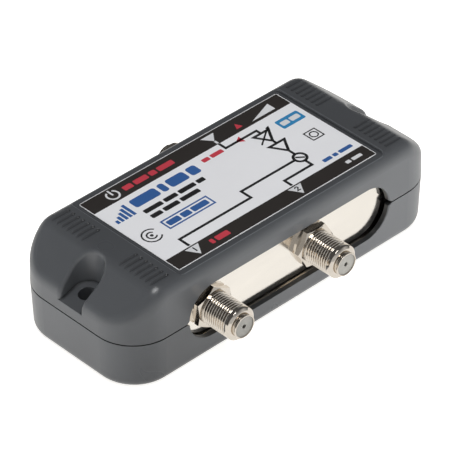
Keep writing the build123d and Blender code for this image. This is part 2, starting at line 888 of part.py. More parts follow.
with BuildPart() as gain_trimmer_housing:
    with BuildSketch(face_plane(trimmer_x, REAR, trimmer_height, -shield_sheet)):
        Rectangle(trimmer_size, trimmer_size)
    extrude(amount=-trimmer_depth)
    with BuildSketch(face_plane(trimmer_x, REAR, trimmer_height, overrun)):
        Circle(rotor_shaft_radius + rotor_clearance)
    extrude(amount=-overrun - shield_sheet - trimmer_depth, mode=Mode.SUBTRACT)
    chamber_face = -shield_sheet - trimmer_front_wall
    with BuildSketch(face_plane(trimmer_x, REAR, trimmer_height, chamber_face)):
        Circle(trimmer_chamber_radius)
    extrude(amount=-trimmer_depth, mode=Mode.SUBTRACT)
keep(gain_trimmer_housing, "gain_trimmer_housing")

with BuildPart() as gain_trimmer_wafer:
    with BuildSketch(face_plane(trimmer_x, REAR, trimmer_height, trimmer_rear)):
        Rectangle(trimmer_size, wafer_height)
        Circle(rotor_pivot_radius + rotor_clearance, mode=Mode.SUBTRACT)
    extrude(amount=-wafer_thickness)
keep(gain_trimmer_wafer, "gain_trimmer_wafer")

with BuildPart() as gain_trimmer_pins:
    with BuildSketch(Plane.XY.offset(board_top)):
        with Locations((trimmer_x, shield_half_width + wafer_rear - trimmer_pin_sheet / 2)):
            with GridLocations(trimmer_pin_pitch, 0, 3, 1):
                Rectangle(trimmer_pin_width, trimmer_pin_sheet)
    extrude(amount=trimmer_size * trimmer_pin_share)
keep(gain_trimmer_pins, "gain_trimmer_pins")

with BuildPart() as gain_trimmer_rotor:
    hub_face = chamber_face - rotor_clearance
    disc_rear = trimmer_rear + rotor_clearance
    add(turned(trimmer_plane, [
        (disc_rear - rotor_pivot_length, 0), (disc_rear - rotor_pivot_length, rotor_pivot_radius),
        (disc_rear, rotor_pivot_radius), (disc_rear, rotor_disc_radius),
        (disc_rear + rotor_disc_thickness, rotor_disc_radius),
        (disc_rear + rotor_disc_thickness, rotor_hub_radius),
        (hub_face, rotor_hub_radius), (hub_face, rotor_shaft_radius),
        (rotor_shaft_length - rotor_edge_chamfer, rotor_shaft_radius),
        (rotor_shaft_length, rotor_shaft_radius - rotor_edge_chamfer),
        (rotor_shaft_length, 0),
    ]))
    with BuildSketch(face_plane(trimmer_x, REAR, trimmer_height, rotor_shaft_length)):
        Rectangle(2 * rotor_shaft_radius + overrun, rotor_slot_width)
    extrude(amount=-rotor_slot_depth, mode=Mode.SUBTRACT)
keep(gain_trimmer_rotor, "gain_trimmer_rotor")


# Parts that stand on the board


def board_places(shares):
    """Places on the board from shares of its half length and half width."""
    return [(u * board_half_length, v * board_half_width) for u, v in shares]


def board_blocks(places, length, width, height):
    """Plain blocks on the board, as one group."""
    with BuildPart() as blocks:
        with BuildSketch(Plane.XY.offset(board_top)):
            with Locations(*places):
                Rectangle(length, width)
        extrude(amount=height)
    return blocks.part


def board_packages(shares, length, width, height, leads):
    """Moulded packages with a row of flat leads along each long side."""
    with BuildPart() as packages:
        add(board_blocks(board_places(shares), length, width, height))
        with BuildSketch(Plane.XY.offset(board_top)):
            with Locations(*board_places(shares)):
                with GridLocations(length / leads, 0, leads, 1):
                    Rectangle(lead_width, width + 2 * lead_length)
        extrude(amount=lead_sheet)
    return packages.part


with BuildPart() as electrolytic_capacitors:
    base_size = 2 * capacitor_radius
    # One stands beside the power socket, and one at the end of the board
    beside_socket = socket_x + socket_width / 2 + capacitor_gap + capacitor_radius
    capacitor_places = [
        (beside_socket, board_half_width * capacitor_width_share),
        (board_half_length * capacitor_end_share, 0),
    ]
    add(board_blocks(capacitor_places, base_size, base_size, capacitor_base_height))
    with BuildSketch(Plane.XY.offset(board_top)):
        with Locations(*capacitor_places):
            Circle(capacitor_radius)
    extrude(amount=capacitor_height)
keep(electrolytic_capacitors, "electrolytic_capacitors")

with BuildPart() as voltage_regulator:
    add(board_packages(regulator_shares, regulator_length, regulator_width, regulator_height, 3))
keep(voltage_regulator, "voltage_regulator")

with BuildPart() as amplifier_transistors:
    add(board_packages(
        transistor_shares, transistor_length, transistor_width, transistor_height, 3
    ))
keep(amplifier_transistors, "amplifier_transistors")

with BuildPart() as protection_diode:
    add(board_packages(diode_shares, diode_length, diode_width, diode_height, 1))
keep(protection_diode, "protection_diode")

with BuildPart() as chip_resistors:
    add(board_blocks(board_places(resistor_shares), chip_length, chip_width, resistor_height))
keep(chip_resistors, "chip_resistors")

with BuildPart() as ceramic_capacitors:
    add(board_blocks(board_places(ceramic_shares), chip_length, chip_width, ceramic_height))
keep(ceramic_capacitors, "ceramic_capacitors")


# Splitter transformer: a core with two holes, and its winding through both

core_x, core_y = board_places(core_shares)[0]
core_middle = board_top + core_height / 2
core_front = Plane(
    origin=(core_x, core_y - core_width / 2, core_middle), x_dir=(1, 0, 0), z_dir=(0, -1, 0)
)

with BuildPart() as splitter_core:
    add(board_blocks(board_places(core_shares), core_length, core_width, core_height))
    with BuildSketch(core_front):
        with GridLocations(core_hole_pitch, 0, 2, 1):
            Circle(core_hole_radius)
    extrude(amount=-core_width, mode=Mode.SUBTRACT)
keep(splitter_core, "splitter_core")

with BuildPart() as splitter_winding:
    with BuildSketch(core_front.offset(winding_overhang)):
        with GridLocations(core_hole_pitch, 0, 2, 1):
            Circle(winding_radius)
    extrude(amount=-core_width - 2 * winding_overhang)
    for start in (0, -core_width - winding_overhang):
        with BuildSketch(core_front.offset(start)):
            Rectangle(core_hole_pitch, 2 * winding_radius)
        extrude(amount=winding_overhang)
keep(splitter_winding, "splitter_winding")


# Chokes: drum cores with a winding between their flanges

with BuildPart() as choke_cores:
    for bottom, radius, height in (
        (0, choke_radius, choke_flange),
        (0, choke_post_radius, choke_height),
        (choke_height - choke_flange, choke_radius, choke_flange),
    ):
        with BuildSketch(Plane.XY.offset(board_top + bottom)):
            with Locations(*board_places(choke_shares)):
                Circle(radius)
        extrude(amount=height)
keep(choke_cores, "choke_cores")

with BuildPart() as choke_windings:
    with BuildSketch(Plane.XY.offset(board_top + choke_flange)):
        with Locations(*board_places(choke_shares)):
            Circle(choke_winding_radius)
            Circle(choke_post_radius + choke_clearance, mode=Mode.SUBTRACT)
    extrude(amount=choke_height - 2 * choke_flange)
keep(choke_windings, "choke_windings")
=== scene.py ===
import json
import math

import bpy
from mathutils import Euler, Matrix, Vector


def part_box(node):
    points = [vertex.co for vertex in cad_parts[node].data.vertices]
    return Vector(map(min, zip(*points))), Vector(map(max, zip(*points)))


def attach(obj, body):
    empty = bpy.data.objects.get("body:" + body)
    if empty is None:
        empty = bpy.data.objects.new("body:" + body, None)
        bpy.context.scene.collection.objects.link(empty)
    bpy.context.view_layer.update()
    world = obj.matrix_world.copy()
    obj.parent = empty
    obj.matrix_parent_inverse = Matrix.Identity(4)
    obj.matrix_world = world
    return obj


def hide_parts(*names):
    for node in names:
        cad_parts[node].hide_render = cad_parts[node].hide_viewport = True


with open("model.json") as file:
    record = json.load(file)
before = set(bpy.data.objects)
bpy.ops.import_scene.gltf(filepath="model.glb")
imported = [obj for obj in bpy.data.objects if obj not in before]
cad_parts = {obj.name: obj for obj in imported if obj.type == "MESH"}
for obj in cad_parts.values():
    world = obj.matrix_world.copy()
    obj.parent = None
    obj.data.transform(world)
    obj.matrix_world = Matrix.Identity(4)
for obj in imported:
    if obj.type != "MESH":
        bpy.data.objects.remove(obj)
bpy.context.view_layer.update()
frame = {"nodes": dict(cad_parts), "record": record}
nodes = frame["nodes"]
record = frame["record"]
scene = bpy.context.scene
MM = 0.001


# Places from the frame, in millimetres

mounts = {mount["name"]: [c / MM for c in mount["pos_m"]] for mount in record["mounts"]}
joints = {joint["name"]: [c / MM for c in joint["pos_m"]] for joint in record["behaviour"]["joints"]}
OUTPUT_A_X = mounts["output_a_port"][0]
OUTPUT_B_X = mounts["output_b_port"][0]
INPUT_X = mounts["input_port"][0]
AXIS_Z = mounts["input_port"][2]
POWER_X = mounts["power_socket"][0]
GAIN_X = joints["gain_turn"][0]
WALL_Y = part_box("shield_frame")[1][1] / MM
LABEL_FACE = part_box("label_plate")[1][2] / MM


# Camera, at the photograph's angle; places in metres, angles in degrees

IMAGE_HEIGHT = 463
FOCAL_PIXELS = 3473.42
SENSOR = 36.0
CLIP_START, CLIP_END = 0.05, 20.0
CAMERA_PLACE = (-0.491432, -0.515581, 0.560489)
CAMERA_ANGLES = (52.39208, 0.26391, -43.73823)

camera_data = bpy.data.cameras.new("camera")
camera_data.sensor_fit = "VERTICAL"
camera_data.sensor_height = SENSOR
camera_data.lens = FOCAL_PIXELS * SENSOR / IMAGE_HEIGHT
camera_data.clip_start = CLIP_START
camera_data.clip_end = CLIP_END
camera = bpy.data.objects.new("camera", camera_data)
scene.collection.objects.link(camera)
turn = Euler([math.radians(angle) for angle in CAMERA_ANGLES])
camera.matrix_world = Matrix.Translation(CAMERA_PLACE) @ turn.to_matrix().to_4x4()
scene.camera = camera


# Shader helpers

NOISE_ROUGHNESS = 0.55
NOISE_LOW, NOISE_HIGH = 0.3, 0.7
COLOUR_DETAIL, ROUGH_DETAIL, GRAIN_DETAIL = 3.0, 5.0, 2.0


def set_inputs(tree, node, inputs):
    """Gives each named or numbered input its value, or a link from a socket."""
    for name, value in inputs.items():
        if isinstance(value, bpy.types.NodeSocket):
            tree.links.new(value, node.inputs[name])
        else:
            node.inputs[name].default_value = value


def shader_node(tree, kind, inputs, **settings):
    node = tree.nodes.new("ShaderNode" + kind)
    for name, value in settings.items():
        setattr(node, name, value)
    set_inputs(tree, node, inputs)
    return node


def calculate(tree, operation, a, b=0.0):
    return shader_node(tree, "Math", {0: a, 1: b}, operation=operation).outputs["Value"]


def remap(tree, value, start, end, at_start, at_end):
    """Goes from at_start to at_end while the value goes from start to end, and no further."""
    node = shader_node(tree, "MapRange", {
        "Value": value, "From Min": start, "From Max": end, "To Min": at_start, "To Max": at_end,
    })
    return node.outputs["Result"]


def mix(tree, data_type, share, a, b, blend_type="MIX"):
    inputs = {"Factor": share, "A": a, "B": b}
    return shader_node(
        tree, "Mix", inputs, data_type=data_type, blend_type=blend_type).outputs["Result"]


def object_coordinates(tree):
    return shader_node(tree, "TexCoord", {}).outputs["Object"]


def noise(tree, coords, scale, detail, stretch=None):
    """Noise in the object's own coordinates; scale counts features per metre."""
    if stretch:
        mapping = shader_node(tree, "Mapping", {"Vector": coords, "Scale": stretch})
        coords = mapping.outputs["Vector"]
    node = shader_node(tree, "TexNoise", {
        "Vector": coords, "Scale": scale, "Detail": detail, "Roughness": NOISE_ROUGHNESS,
    })
    return node.outputs["Fac"]


def patches(tree, coords, scale, detail, low, high, stretch=None):
    """A value that wanders between low and high over the surface."""
    height = noise(tree, coords, scale, detail, stretch)
    return remap(tree, height, NOISE_LOW, NOISE_HIGH, low, high)


def bump(tree, height, depth, smooth_normal=None):
    inputs = {"Height": height, "Distance": depth, "Strength": 1.0}
    if smooth_normal is not None:
        inputs["Normal"] = smooth_normal
    return shader_node(tree, "Bump", inputs).outputs["Normal"]


def shade(colour, factor):
    """The colour made darker or lighter, with alpha 1."""
    return (*(min(1.0, c * factor) for c in colour), 1.0)


def new_material(name):
    material = bpy.data.materials.new(name)
    material.use_nodes = True
    tree = material.node_tree
    return material, tree, tree.nodes["Principled BSDF"]


# General finish of the small pieces

COAT_ROUGHNESS = 0.1
ROUGH_PATCH_SHARE = 4.3


def finish_material(name, colour, roughness, metallic=0.0, vary=0.06, patch=60.0,
                    grain=2500.0, grain_depth=0.000004, rough_vary=0.06, stretch=None, coat=0.0):
    """Patchy colour, patchy roughness and a fine surface grain; depths in metres."""
    material, tree, shader = new_material(name)
    coords = object_coordinates(tree)
    share = patches(tree, coords, patch, COLOUR_DETAIL, 0.0, 1.0, stretch)
    colours = mix(tree, "RGBA", share, shade(colour, 1 - vary), shade(colour, 1 + vary))
    rough = patches(tree, coords, patch * ROUGH_PATCH_SHARE, ROUGH_DETAIL,
                    roughness - rough_vary, roughness + rough_vary, stretch)
    set_inputs(tree, shader, {
        "Base Color": colours,
        "Roughness": rough,
        "Metallic": metallic,
        "Coat Weight": coat,
        "Coat Roughness": COAT_ROUGHNESS,
        "Normal": bump(tree, noise(tree, coords, grain, GRAIN_DETAIL, stretch), grain_depth),
    })
    return material


# Case plastic; sizes in metres

GRAPHITE = (0.066, 0.070, 0.076)
CASE_VARY, CASE_PATCH = 0.05, 40.0
CASE_ROUGHNESS, CASE_ROUGH_VARY, CASE_ROUGH_PATCH, CASE_ROUGH_DETAIL = 0.31, 0.04, 55.0, 1.0
CASE_GRAIN, CASE_GRAIN_DEPTH = 1600.0, 0.000003
SOFT_EDGE, SOFT_EDGE_SAMPLES = 0.00022, 6

# Inner space behind the long openings, painted dark as shade
OPENING_HALF_LENGTH, OPENING_FACE = 0.0372, 0.02225
OPENING_BOTTOM, OPENING_TOP = 0.0057, 0.0236
OPENING_PAINTED_SHADE = 0.3

# Grooves and seams, painted darker where shade falls in them
CREVICE_REACH, CREVICE_SAMPLES, CREVICE_LEVEL = 0.0009, 8, 0.25
CREVICE_CLOSED, CREVICE_OPEN = 0.62, 0.97

# Painted highlight along the edge of the label recess: at its end walls, and on the rounded roof
# edges
RECESS_HALF_LENGTH, RECESS_HALF_WIDTH, RECESS_CORNER = 0.0365, 0.02036, 0.0018
RIM_WIDTH, RIM_PAINTED_HIGHLIGHT = 0.00013, 2.6


def behind_openings(tree, along, across, height):
    """1 in the inner space behind the long openings, 0 elsewhere."""
    limits = (
        ("LESS_THAN", along, OPENING_HALF_LENGTH), ("LESS_THAN", across, OPENING_FACE),
        ("LESS_THAN", height, OPENING_TOP), ("GREATER_THAN", height, OPENING_BOTTOM),
    )
    inside = 1.0
    for operation, distance, limit in limits:
        within = calculate(tree, operation, distance, limit)
        inside = calculate(tree, "MULTIPLY", inside, within)
    return inside


def recess_rim(tree, along, across):
    """1 on a thin line just outside the label recess, where a painted highlight lightens the edge.
    """
    squares = []
    for distance, half in ((along, RECESS_HALF_LENGTH), (across, RECESS_HALF_WIDTH)):
        past_corner = calculate(tree, "SUBTRACT", distance, half - RECESS_CORNER)
        over = calculate(tree, "MAXIMUM", past_corner)
        squares.append(calculate(tree, "MULTIPLY", over, over))
    radius = calculate(tree, "SQRT", calculate(tree, "ADD", *squares))
    outside = calculate(tree, "SUBTRACT", radius, RECESS_CORNER + RIM_WIDTH / 2)
    return remap(tree, calculate(tree, "ABSOLUTE", outside), RIM_WIDTH, 0.0, 0.0, 1.0)


def case_material(name):
    """Moulded plastic: soft edges, painted shade behind the openings and in crevices, a painted
    highlight on the recess rim.
    """
    material, tree, shader = new_material(name)
    coords = object_coordinates(tree)
    place = shader_node(tree, "SeparateXYZ", {"Vector": coords}).outputs
    along, across = (calculate(tree, "ABSOLUTE", place[axis]) for axis in "XY")
    share = patches(tree, coords, CASE_PATCH, COLOUR_DETAIL, 0.0, 1.0)
    plain = mix(
        tree, "RGBA", share, shade(GRAPHITE, 1 - CASE_VARY), shade(GRAPHITE, 1 + CASE_VARY))
    # Painted shade: the colour is darkened in the inner space behind the openings
    inside = behind_openings(tree, along, across, place["Z"])
    darkened = mix(tree, "RGBA", inside, plain, shade(GRAPHITE, OPENING_PAINTED_SHADE))
    # Painted shade: ambient occlusion darkens the colour in grooves, seams and corners
    crevice = shader_node(
        tree, "AmbientOcclusion", {"Distance": CREVICE_REACH}, samples=CREVICE_SAMPLES)
    light = remap(
        tree, crevice.outputs["AO"], CREVICE_CLOSED, CREVICE_OPEN, CREVICE_LEVEL, 1.0)
    painted_shade_colour = mix(tree, "RGBA", 1.0, darkened, light, blend_type="MULTIPLY")
    # Painted highlight: a lighter line of colour along the rim of the label recess
    rim = recess_rim(tree, along, across)
    soft = shader_node(tree, "Bevel", {"Radius": SOFT_EDGE}, samples=SOFT_EDGE_SAMPLES)
    grain = noise(tree, coords, CASE_GRAIN, GRAIN_DETAIL)
    set_inputs(tree, shader, {
        "Base Color": mix(tree, "RGBA", rim, painted_shade_colour, shade(GRAPHITE, RIM_PAINTED_HIGHLIGHT)),
        "Roughness": patches(
            tree, coords, CASE_ROUGH_PATCH, CASE_ROUGH_DETAIL,
            CASE_ROUGHNESS - CASE_ROUGH_VARY, CASE_ROUGHNESS + CASE_ROUGH_VARY),
        "Normal": bump(tree, grain, CASE_GRAIN_DEPTH, soft.outputs["Normal"]),
    })
    return material


# Finish of each material slot, and the inks of the label

FINISHES = {
    "label_film": dict(
        colour=(0.85, 0.855, 0.88), roughness=0.38, vary=0.012, patch=90.0, grain=1500.0,
        grain_depth=0.000001, coat=0.15),
    "zinc_steel": dict(colour=(0.62, 0.62, 0.60), roughness=0.32, metallic=1.0, patch=300.0),
    "tinplate": dict(
        colour=(0.89, 0.85, 0.79), roughness=0.13, metallic=1.0, vary=0.03, patch=45.0,
        grain=240.0, grain_depth=0.0000005, rough_vary=0.04, stretch=(1.0, 1.0, 3.0)),
    "board_laminate": dict(
        colour=(0.012, 0.10, 0.03), roughness=0.35, vary=0.25, patch=220.0, coat=0.4),
    "nickel_plate": dict(
        colour=(0.72, 0.665, 0.595), roughness=0.11, metallic=1.0, vary=0.05, patch=260.0,
        grain=900.0, grain_depth=0.0000004, rough_vary=0.03),
    "insulator_plastic": dict(
        colour=(0.20, 0.195, 0.18), roughness=0.45, vary=0.07, patch=500.0),
    "contact_brass": dict(colour=(0.72, 0.53, 0.25), roughness=0.28, metallic=1.0, patch=400.0),
    "black_plastic": dict(
        colour=(0.014, 0.014, 0.015), roughness=0.45, patch=300.0, grain_depth=0.000008),
    "capacitor_can": dict(colour=(0.70, 0.71, 0.73), roughness=0.25, metallic=1.0, patch=300.0),
    "ceramic_tan": dict(colour=(0.34, 0.23, 0.12), roughness=0.4, vary=0.15, patch=800.0),
    "ferrite": dict(
        colour=(0.030, 0.028, 0.028), roughness=0.7, vary=0.15, patch=700.0,
        grain_depth=0.00002),
    "enamelled_copper": dict(
        colour=(0.36, 0.075, 0.02), roughness=0.25, vary=0.15, patch=900.0,
        stretch=(1.0, 8.0, 1.0), coat=0.5),
}
INK_SURFACE = dict(
    roughness=0.4, vary=0.06, patch=120.0, grain=1800.0, grain_depth=0.000001, coat=0.1)
INK_COLOURS = {
    "strip": (0.026, 0.022, 0.020),
    "black": (0.012, 0.012, 0.013),
    "white": (0.70, 0.71, 0.73),
    "red": (0.56, 0.045, 0.070),
    "blue": (0.030, 0.110, 0.330),
    "cyan": (0.025, 0.230, 0.480),
}

finishes = {"case_plastic": case_material("case_plastic")}
for slot, finish in FINISHES.items():
    finishes[slot] = finish_material(slot, **finish)
inks = {
    ink: finish_material("ink_" + ink, colour, **INK_SURFACE)
    for ink, colour in INK_COLOURS.items()
}

for row in record["subparts"]:
    mesh = nodes[row["node"]].data
    mesh.materials.clear()
    mesh.materials.append(finishes[row["material_slot"]])


# Piece helpers

def smooth(mesh, sharp_angle):
    """Rounds the shading where faces meet at less than the angle, in degrees."""
    mesh.shade_smooth()
    mesh.set_sharp_from_angle(angle=math.radians(sharp_angle))


def add_piece(name, points, faces, material):
    """A mesh from points in millimetres, riding on the case."""
    mesh = bpy.data.meshes.new(name)
    mesh.from_pydata([[c * MM for c in point] for point in points], [], faces)
    mesh.validate()
    mesh.update()
    mesh.materials.append(material)
    piece = bpy.data.objects.new(name, mesh)
    scene.collection.objects.link(piece)
    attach(piece, "case")
    return piece


# Printing on the label: flat shapes, in millimetres

INK_DEPTH = 0.012
CORNER_STEPS, DISC_SIDES, RING_SIDES = 4, 16, 32
BAR_CORNER_SHARE = 0.22


def arc(x, y, radius, start, end, steps):
    """Points on an arc with both its ends, angles in degrees."""
    angles = [math.radians(start + (end - start) * i / steps) for i in range(steps + 1)]
    return [(x + radius * math.cos(a), y + radius * math.sin(a)) for a in angles]


class Print:
    """Shapes of one ink, raised a hair above what they are printed on."""

    def __init__(self, name, ink, layer=0):
        self.name = name
        self.ink = ink
        self.bottom = LABEL_FACE + layer * INK_DEPTH
        self.points = []
        self.faces = []

    def shape(self, outline):
        """A flat plate, whichever way round its outline runs."""
        following = outline[1:] + outline[:1]
        area = sum(ax * by - bx * ay for (ax, ay), (bx, by) in zip(outline, following))
        if area < 0:
            outline = outline[::-1]
        count = len(outline)
        first = len(self.points)
        for height in (self.bottom, self.bottom + INK_DEPTH):
            self.points += [(x, y, height) for x, y in outline]
        self.faces.append([first + count + i for i in range(count)])
        self.faces.append([first + i for i in reversed(range(count))])
        for i in range(count):
            j = (i + 1) % count
            self.faces.append([first + i, first + j, first + count + j, first + count + i])

    def box(self, x0, y0, x1, y1, radius=0.0):
        if not radius:
            self.shape([(x0, y0), (x1, y0), (x1, y1), (x0, y1)])
            return
        left, right, low, high = x0 + radius, x1 - radius, y0 + radius, y1 - radius
        outline = []
        for x, y, start in ((right, low, -90), (right, high, 0), (left, high, 90), (left, low, 180)):
            outline += arc(x, y, radius, start, start + 90, CORNER_STEPS)
        self.shape(outline)

    def border(self, x0, y0, x1, y1, width):
        self.box(x0, y0, x1, y0 + width)
        self.box(x0, y1 - width, x1, y1)
        self.box(x0, y0 + width, x0 + width, y1 - width)
        self.box(x1 - width, y0 + width, x1, y1 - width)

    def line(self, route, width, closed=False):
        """Straight runs with mitred corners, along the middle of the line."""
        ends = route[1:] + route[:1] if closed else route[1:]
        normals = []
        for (ax, ay), (bx, by) in zip(route, ends):
            normals.append(Vector((ay - by, bx - ax)).normalized())
        sides = []
        for i, place in enumerate(route):
            before = normals[i - 1] if closed or i else normals[0]
            after = normals[i] if i < len(normals) else normals[-1]
            mitre = before + after
            mitre *= width / mitre.length_squared
            sides.append((tuple(Vector(place) - mitre), tuple(Vector(place) + mitre)))
        next_sides = sides[1:] + sides[:1] if closed else sides[1:]
        for (right, left), (next_right, next_left) in zip(sides, next_sides):
            self.shape([right, next_right, next_left, left])

    def disc(self, x, y, radius):
        self.shape(arc(x, y, radius, 0, 360, DISC_SIDES)[:-1])

    def ring(self, x, y, radius, width, start=0.0, end=360.0):
        inner = arc(x, y, radius - width / 2, start, end, RING_SIDES)
        outer = arc(x, y, radius + width / 2, start, end, RING_SIDES)
        for i in range(RING_SIDES):
            self.shape([inner[i], outer[i], outer[i + 1], inner[i + 1]])

    def bars(self, rows):
        for x, y, height, lengths, gap in rows:
            for length in lengths:
                self.box(x, y, x + length, y + height, height * BAR_CORNER_SHARE)
                x += length + gap

    def place(self):
        add_piece(self.name, self.points, self.faces, inks[self.ink])


# Rows of bars in place of words: left end, lower edge, height, lengths, gap
TEXT_X = -25.2
BAR_ROWS = {
    "label_diagram": (
        (TEXT_X, 3.9, 1.6, (6.2, 4.4, 5.6, 2.6), 0.7), (TEXT_X, 1.2, 1.6, (3.6, 5.2, 6.4), 0.7)),
    "label_blue": (
        (TEXT_X, 7.3, 3.6, (8.6, 2.0, 6.2, 3.2), 0.9), (-24.2, -4.0, 2.1, (4.2, 3.0, 5.4), 0.6),
        (22.6, -12.1, 1.3, (3.0, 1.6, 4.6), 0.6)),
    "label_red": ((0.2, 9.4, 1.5, (2.4, 4.2), 0.6),),
    "label_strip_marks": ((26.4, -16.6, 1.2, (1.6, 3.4), 0.6),),
    "label_strip_red": (
        (-22.4, 14.6, 1.9, (3.0, 4.6, 2.2, 5.4), 0.7), (-21.6, -16.8, 1.9, (1.2, 4.4), 0.7)),
    "label_block_marks": ((26.2, 6.7, 1.8, (2.6, 3.2), 0.6),),
}


# Dark strips along both long edges

STRIP_END, STRIP_EDGE = 34.8, 18.45
REAR_STRIP_START, FRONT_STRIP_START = 12.85, -13.45

strips = Print("label_strips", "strip")
strips.box(-STRIP_END, REAR_STRIP_START, STRIP_END, STRIP_EDGE)
strips.box(-STRIP_END, -STRIP_EDGE, STRIP_END, FRONT_STRIP_START)
strips.place()


# Signal diagram: the input, two stages and the splitter in one column, and the two outputs

LINE, SLASH_LINE, ARROW_LINE = 0.8, 0.64, 0.48
COLUMN_X, COLUMN_START_Y = 19.6, 10.2
INPUT_LINE_END_Y = 12.8
STAGE_HALF_WIDTH, STAGE_HEIGHT = 2.7, 4.4
STAGE_TOPS = (8.5, 2.6)
ABOVE_STAGE, BELOW_STAGE = 0.2, 0.3
SPLITTER_Y, SPLITTER_RADIUS, SPLITTER_CLEAR = -6.0, 1.8, 0.2
SLASH_X, SLASH_Y = 1.0, 0.8
BRANCH_X, BRANCH_A_Y, BRANCH_B_Y, BRANCH_END_Y = -1.5, -9.6, -10.4, -13.2
GAIN_ARROW = [(16.2, 4.6), (22.4, 9.0)]
GAIN_ARROW_HEAD = [(23.4, 9.7), (21.9, 9.3), (22.6, 8.3)]

# Waves in the left corner, and a socket in a square on the right
WAVES_X, WAVES_Y, WAVES_LINE, WAVES_START, WAVES_END = -30.3, -3.6, 0.45, 35, 325
WAVE_RADII, WAVES_DOT = (1.3, 2.6), 0.5
SOCKET_X, SOCKET_Y, SOCKET_HALF, SOCKET_RADIUS, SOCKET_LINE = 29.3, -1.3, 2.1, 1.15, 0.4

diagram = Print("label_diagram", "black")
first_tip, last_tip = (top - STAGE_HEIGHT for top in STAGE_TOPS)
diagram.line([
    (INPUT_X, INPUT_LINE_END_Y), (INPUT_X, COLUMN_START_Y), (COLUMN_X, COLUMN_START_Y),
    (COLUMN_X, STAGE_TOPS[0] + ABOVE_STAGE),
], LINE)
for top in STAGE_TOPS:
    diagram.line([
        (COLUMN_X - STAGE_HALF_WIDTH, top), (COLUMN_X + STAGE_HALF_WIDTH, top),
        (COLUMN_X, top - STAGE_HEIGHT),
    ], LINE, closed=True)
diagram.line(
    [(COLUMN_X, first_tip - BELOW_STAGE), (COLUMN_X, STAGE_TOPS[1] + ABOVE_STAGE)], LINE)
diagram.line(
    [(COLUMN_X, last_tip - BELOW_STAGE), (COLUMN_X, SPLITTER_Y + SPLITTER_RADIUS)], LINE)
diagram.ring(COLUMN_X, SPLITTER_Y, SPLITTER_RADIUS, LINE)
diagram.line([
    (COLUMN_X - SLASH_X, SPLITTER_Y + SLASH_Y), (COLUMN_X + SLASH_X, SPLITTER_Y - SLASH_Y),
], SLASH_LINE)
branch_start = SPLITTER_RADIUS + SPLITTER_CLEAR
diagram.line([
    (COLUMN_X - branch_start, SPLITTER_Y), (BRANCH_X, SPLITTER_Y), (BRANCH_X, BRANCH_A_Y),
    (OUTPUT_A_X, BRANCH_A_Y), (OUTPUT_A_X, BRANCH_END_Y),
], LINE)
diagram.line([
    (COLUMN_X, SPLITTER_Y - branch_start), (COLUMN_X, BRANCH_B_Y),
    (OUTPUT_B_X, BRANCH_B_Y), (OUTPUT_B_X, BRANCH_END_Y),
], LINE)
diagram.line(GAIN_ARROW, ARROW_LINE)
diagram.shape(GAIN_ARROW_HEAD)
for radius in WAVE_RADII:
    diagram.ring(WAVES_X, WAVES_Y, radius, WAVES_LINE, WAVES_START, WAVES_END)
diagram.disc(WAVES_X, WAVES_Y, WAVES_DOT)
diagram.border(
    SOCKET_X - SOCKET_HALF, SOCKET_Y - SOCKET_HALF, SOCKET_X + SOCKET_HALF,
    SOCKET_Y + SOCKET_HALF, SOCKET_LINE)
diagram.ring(SOCKET_X, SOCKET_Y, SOCKET_RADIUS, SOCKET_LINE)
diagram.bars(BAR_ROWS["label_diagram"])
diagram.place()


# Coloured shapes on the white ground

STEP_COUNT, STEP_X, STEP_Y, STEP_PITCH, STEP_WIDTH = 5, -33.2, 5.6, 1.35, 0.95
STEP_HEIGHT, STEP_RISE = 1.4, 0.95
PLATE_Y, PLATE_END_X, PLATE_END_Y, PLATE_LINE = -5.0, -9.2, -0.9, 0.5
BLOCK, BLOCK_CORNER = (25.4, 5.6, 33.4, 9.6), 0.5
RED_ARROW = [(14.4, 11.6), (12.2, 10.2), (14.4, 8.8)]

blue = Print("label_blue", "blue")
for step in range(STEP_COUNT):
    left = STEP_X + step * STEP_PITCH
    blue.box(left, STEP_Y, left + STEP_WIDTH, STEP_Y + STEP_HEIGHT + step * STEP_RISE)
blue.border(TEXT_X, PLATE_Y, PLATE_END_X, PLATE_END_Y, PLATE_LINE)
blue.bars(BAR_ROWS["label_blue"])
blue.place()

cyan = Print("label_cyan", "cyan")
cyan.box(*BLOCK, BLOCK_CORNER)
cyan.place()

red = Print("label_red", "red")
red.shape(RED_ARROW)
red.bars(BAR_ROWS["label_red"])
red.place()


# Symbols on the dark strips, in line with the ports and controls

POWER_Y, POWER_RADIUS, POWER_LINE, POWER_START, POWER_END = 15.6, 1.75, 0.55, 120, 420
POWER_BAR_HALF, POWER_BAR_Y, POWER_BAR_END_Y = 0.28, 15.5, 17.9
PORT_ARROW_HALF = 2.3
INPUT_ARROW_TOP, INPUT_ARROW_TIP = 17.4, 14.5
OUTPUT_ARROW_TOP, OUTPUT_ARROW_TIP = -13.9, -17.6
INPUT_STEM_HALF, INPUT_STEM_Y, INPUT_STEM_END_Y = 0.35, 13.1, 14.4
WEDGE_LEFT, WEDGE_RIGHT, WEDGE_Y, WEDGE_TOP = 4.4, 4.0, 13.9, 16.9
RED_MARK = [(18.6, 14.2), (16.4, 14.2), (17.5, 16.4)]

